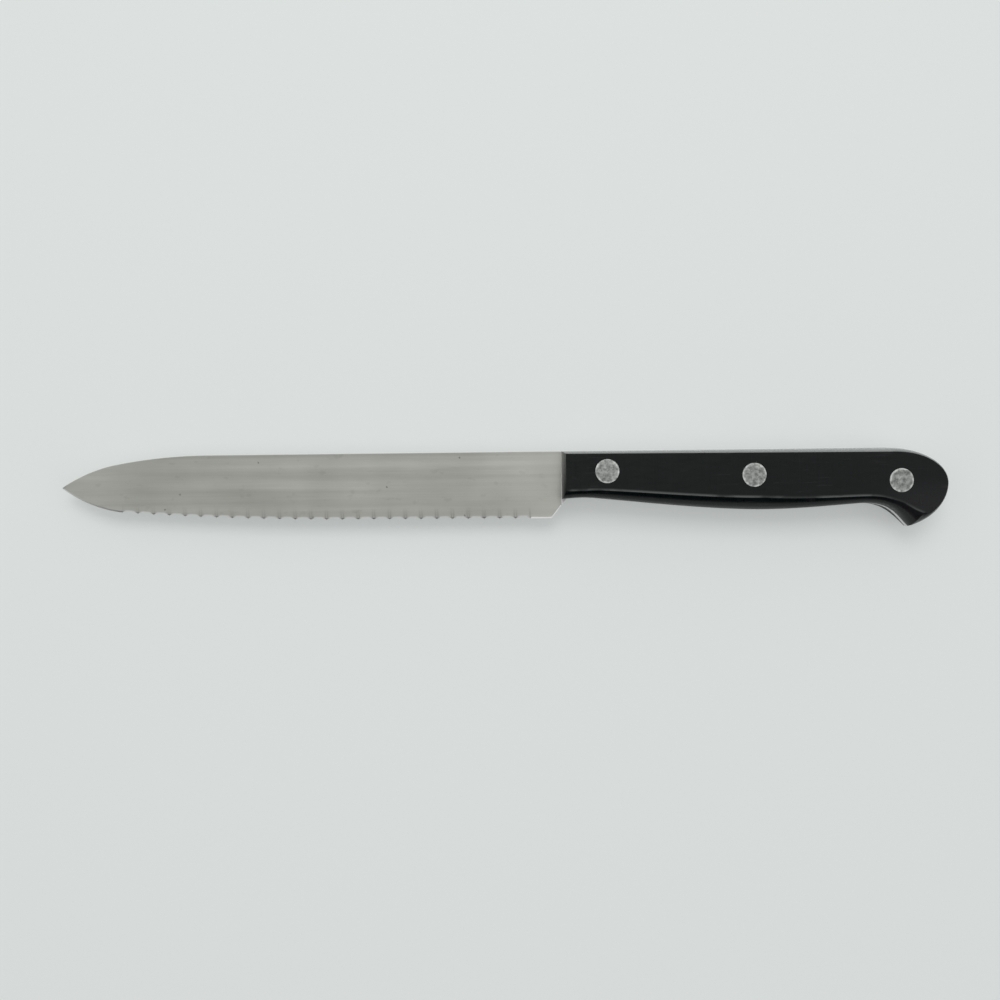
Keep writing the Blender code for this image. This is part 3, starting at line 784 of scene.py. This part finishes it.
# Rivets
# Three two-piece cutler's rivets of soft grey metal: from the left a head on a solid pin, from
# the right a head on a tube that the pin is driven into. Both heads are ground flush and worn.
RIVET_PIN = {
    "Head radius": 0.00312,
    "Head thickness": 0.0013,
    "Rim chamfer": 0.00008,
    "Crown": 0.00003,
    "Shank radius": 0.0013,
    "Shank length": 0.0072,
    "Bore radius": 0.0,
    "Bore depth": 0.0,
    "Side": 1.0,
}
RIVET_TUBE = RIVET_PIN | {
    "Shank radius": 0.0020,
    "Shank length": 0.00885,
    "Bore radius": 0.0014,
    "Bore depth": 0.0083,
    "Side": -1.0,
}
HEAD_SUNK = 0.00003
HEAD_TOP = SCALE_TOP - HEAD_SUNK
HEAD_CORNER = math.radians(30)
RIVET_TURNS = 64
CROWN_ROWS = 5
RIVET_ROWS = CROWN_ROWS + 8


def draw_rivets(nodes, points, size):
    """One rivet half, turned from its profile, on each of the points."""
    grid = nodes.add("GeometryNodeMeshGrid", inputs={"Vertices X": RIVET_TURNS + 1, "Vertices Y": RIVET_ROWS})
    index = nodes.add("GeometryNodeInputIndex")
    turn = (index / RIVET_ROWS + 0.5 / RIVET_ROWS).floor()
    row = index - turn * RIVET_ROWS
    angle = turn * (2 * math.pi / RIVET_TURNS)
    crown = along(row, 0, CROWN_ROWS)
    rim = CROWN_ROWS
    radius = crown * (size["Head radius"] - size["Rim chamfer"]) \
        + along(row, rim, 1) * size["Rim chamfer"] \
        - along(row, rim + 2, 1) * (size["Head radius"] - size["Shank radius"]) \
        - along(row, rim + 4, 1) * (size["Shank radius"] - size["Bore radius"]) \
        - along(row, rim + 6, 1) * size["Bore radius"]
    height = HEAD_TOP - crown * crown * size["Crown"] \
        - along(row, rim, 1) * size["Rim chamfer"] \
        - along(row, rim + 1, 1) * (size["Head thickness"] - size["Rim chamfer"] - size["Crown"]) \
        - along(row, rim + 3, 1) * size["Shank length"] \
        + along(row, rim + 5, 1) * size["Bore depth"]
    place = nodes.vector(radius * nodes.math("COSINE", angle),
                         radius * nodes.math("SINE", angle) * size["Side"], height * size["Side"])
    turned = nodes.add("GeometryNodeSetPosition", inputs={"Geometry": grid, "Position": place})
    marked = nodes.add("GeometryNodeStoreNamedAttribute",
                       inputs={"Geometry": turned, "Name": "from_centre", "Value": crown})
    welded = nodes.add("GeometryNodeMergeByDistance", inputs={"Geometry": marked, "Distance": SAME_PLACE})
    return nodes.add("GeometryNodeInstanceOnPoints", inputs={"Points": points, "Instance": welded})


# Soft metal rubbed dull and dented, brighter round the rim
DULL_RIVET, PALE_RIVET, BRIGHT_RIVET = ((0.17, 0.175, 0.17, 1), (0.43, 0.44, 0.42, 1), (0.66, 0.67, 0.65, 1))
BRIGHT_START, BRIGHT_FULL = 0.82, 0.97

rivet_metal, nodes, shader, place = new_finish("worn_rivet_metal", {"Metallic": 1.0})
from_centre = attribute(nodes, "from_centre")
dents = noise(nodes, place, (1000, 1000, 1000), 2)
grain = noise(nodes, place, (2600, 2600, 2600), 3)
rim_light = smooth_step(nodes, from_centre + (dents - 0.5) * 0.25, BRIGHT_START, BRIGHT_FULL)
tone = ((dents - 0.5) * 2.0 + (grain - 0.5) * 1.4 + 0.42).clamp()
tone = blend(nodes, tone, DULL_RIVET, PALE_RIVET)
tone = blend(nodes, rim_light * (dents * 1.6 - 0.25).clamp(), tone, BRIGHT_RIVET)
feed(nodes, shader, {
    "Base Color": tone,
    "Roughness": (dents - 0.5) * 0.3 + 0.45,
    "Normal": nodes.add("ShaderNodeBump", inputs={"Strength": 0.5, "Distance": 0.00002,
                                                  "Height": dents * 0.6 + grain * 0.4}),
})
nodes, points, sockets, names = new_geometry_tree("rivet_halves", RIVET_PIN)
finish_tree(nodes, draw_rivets(nodes, points, sockets), rivet_metal)
for name, sizes, half in (("left_rivets", RIVET_PIN, "pin"), ("right_rivets", RIVET_TUBE, "tube")):
    points = bpy.data.meshes.new(name)
    points.from_pydata(rivet_places, [], [])
    mesh = grown_mesh(name, points, nodes.tree, names, sizes)
    mesh.set_sharp_from_angle(angle=HEAD_CORNER)
    rivets = add_piece(name, mesh)
    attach(rivets, "root")
    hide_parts(*(f"{place}_rivet_{half}" for place in ("front", "middle", "rear")))


# Sheet that the knife lies on
# Smooth pale board, plain, a touch green, with no edge in view. Part of it is shown as plain colour,
# so that it stays even, and the rest takes the knife's shadow.
FLOOR_COLOUR = (0.735, 0.765, 0.755, 1)
FIBRE_COLOUR = (*(1.02 * level for level in FLOOR_COLOUR[:3]), 1)
FLOOR_SHOWN = 0.44
FLOOR_REACH = 3

paper, nodes, shader, place = new_finish("pale_board", {"Roughness": 0.7, "Specular IOR Level": 0.2})
fibres = noise(nodes, place, (900, 900, 900), 3)
feed(nodes, shader, {"Base Color": blend(nodes, fibres, FLOOR_COLOUR, FIBRE_COLOUR)})
ray = paper.node_tree.nodes.new("ShaderNodeLightPath")
shown = sum(Socket(nodes, ray.outputs[f"Is {kind} Ray"]) for kind in ("Camera", "Transmission"))
plain = nodes.add("ShaderNodeEmission", inputs={"Color": FLOOR_COLOUR, "Strength": 1.0})
surface = nodes.add("ShaderNodeMixShader", inputs={0: shown.clamp() * FLOOR_SHOWN,
                                                  1: Socket(nodes, shader.outputs[0]), 2: plain})
paper.node_tree.links.new(surface.socket, paper.node_tree.nodes["Material Output"].inputs["Surface"])
floor_mesh = bpy.data.meshes.new("floor")
floor_corners = [(x * FLOOR_REACH, y * FLOOR_REACH, 0) for x, y in ((-1, -1), (1, -1), (1, 1), (-1, 1))]
floor_mesh.from_pydata(floor_corners, [], [(0, 1, 2, 3)])
floor_mesh.materials.append(paper)
floor = add_piece("floor", floor_mesh)


# Light
# An even room, dimmer overhead and brighter towards the handle's end, a soft window on the
# spine's side, and a dark shape opposite.
WINDOW_SIZE = (0.5, 0.4)
WINDOW_DISTANCE = 0.9
WINDOW_TILT = math.radians(30)
WINDOW_POWER = 2.8
ROOM_COLOUR = (0.985, 1, 0.99, 1)
ROOM_LIGHT, OVERHEAD_LIGHT = 0.85, 0.50
OVERHEAD_START, OVERHEAD_FULL = 0.80, 0.96
SIDE_REACH, SIDE_SLOPE = 0.4, 0.2
SHADE_LEAN = math.radians(50)
SHADE_STRETCH = (0.6, 1, 1)
SHADE_START, SHADE_FULL = 0.85, 0.94
SHADE_LIGHT = 0.01

window = bpy.data.objects.new("window", bpy.data.lights.new("window", "AREA"))
window.data.shape = "RECTANGLE"
window.data.size, window.data.size_y = WINDOW_SIZE
window.data.energy = WINDOW_POWER
window.location = (0, WINDOW_DISTANCE * math.sin(WINDOW_TILT), WINDOW_DISTANCE * math.cos(WINDOW_TILT))
window.rotation_euler = (-WINDOW_TILT, 0, 0)
bpy.context.scene.collection.objects.link(window)


def facing(nodes, ray, direction):
    """How nearly a ray runs along a direction: 1 along it, 0 across it."""
    return nodes.add("ShaderNodeVectorMath", {"operation": "DOT_PRODUCT"}, {0: ray, 1: direction}, output=1)


world = bpy.data.worlds.new("room")
world.use_nodes = True
bpy.context.scene.world = world
nodes = Nodes(world.node_tree)
towards = nodes.add("ShaderNodeTexCoord")
stretched = nodes.add("ShaderNodeVectorMath", {"operation": "MULTIPLY"}, {0: towards, 1: SHADE_STRETCH})
stretched = nodes.add("ShaderNodeVectorMath", {"operation": "NORMALIZE"}, {0: stretched})
beside = facing(nodes, stretched, (0, -math.sin(SHADE_LEAN), math.cos(SHADE_LEAN)))
overhead = smooth_step(nodes, facing(nodes, towards, (0, 0, 1)), OVERHEAD_START, OVERHEAD_FULL,
                       ROOM_LIGHT, OVERHEAD_LIGHT)
sideways = 1 + facing(nodes, towards, (1, 0, 0)).clamp(-SIDE_REACH, SIDE_REACH) * SIDE_SLOPE
light = overhead * sideways * smooth_step(nodes, beside, SHADE_START, SHADE_FULL, 1.0, SHADE_LIGHT)
background = world.node_tree.nodes["Background"]
background.inputs["Color"].default_value = ROOM_COLOUR
feed(nodes, background, {"Strength": light})

bpy.context.scene.view_settings.view_transform = "Standard"
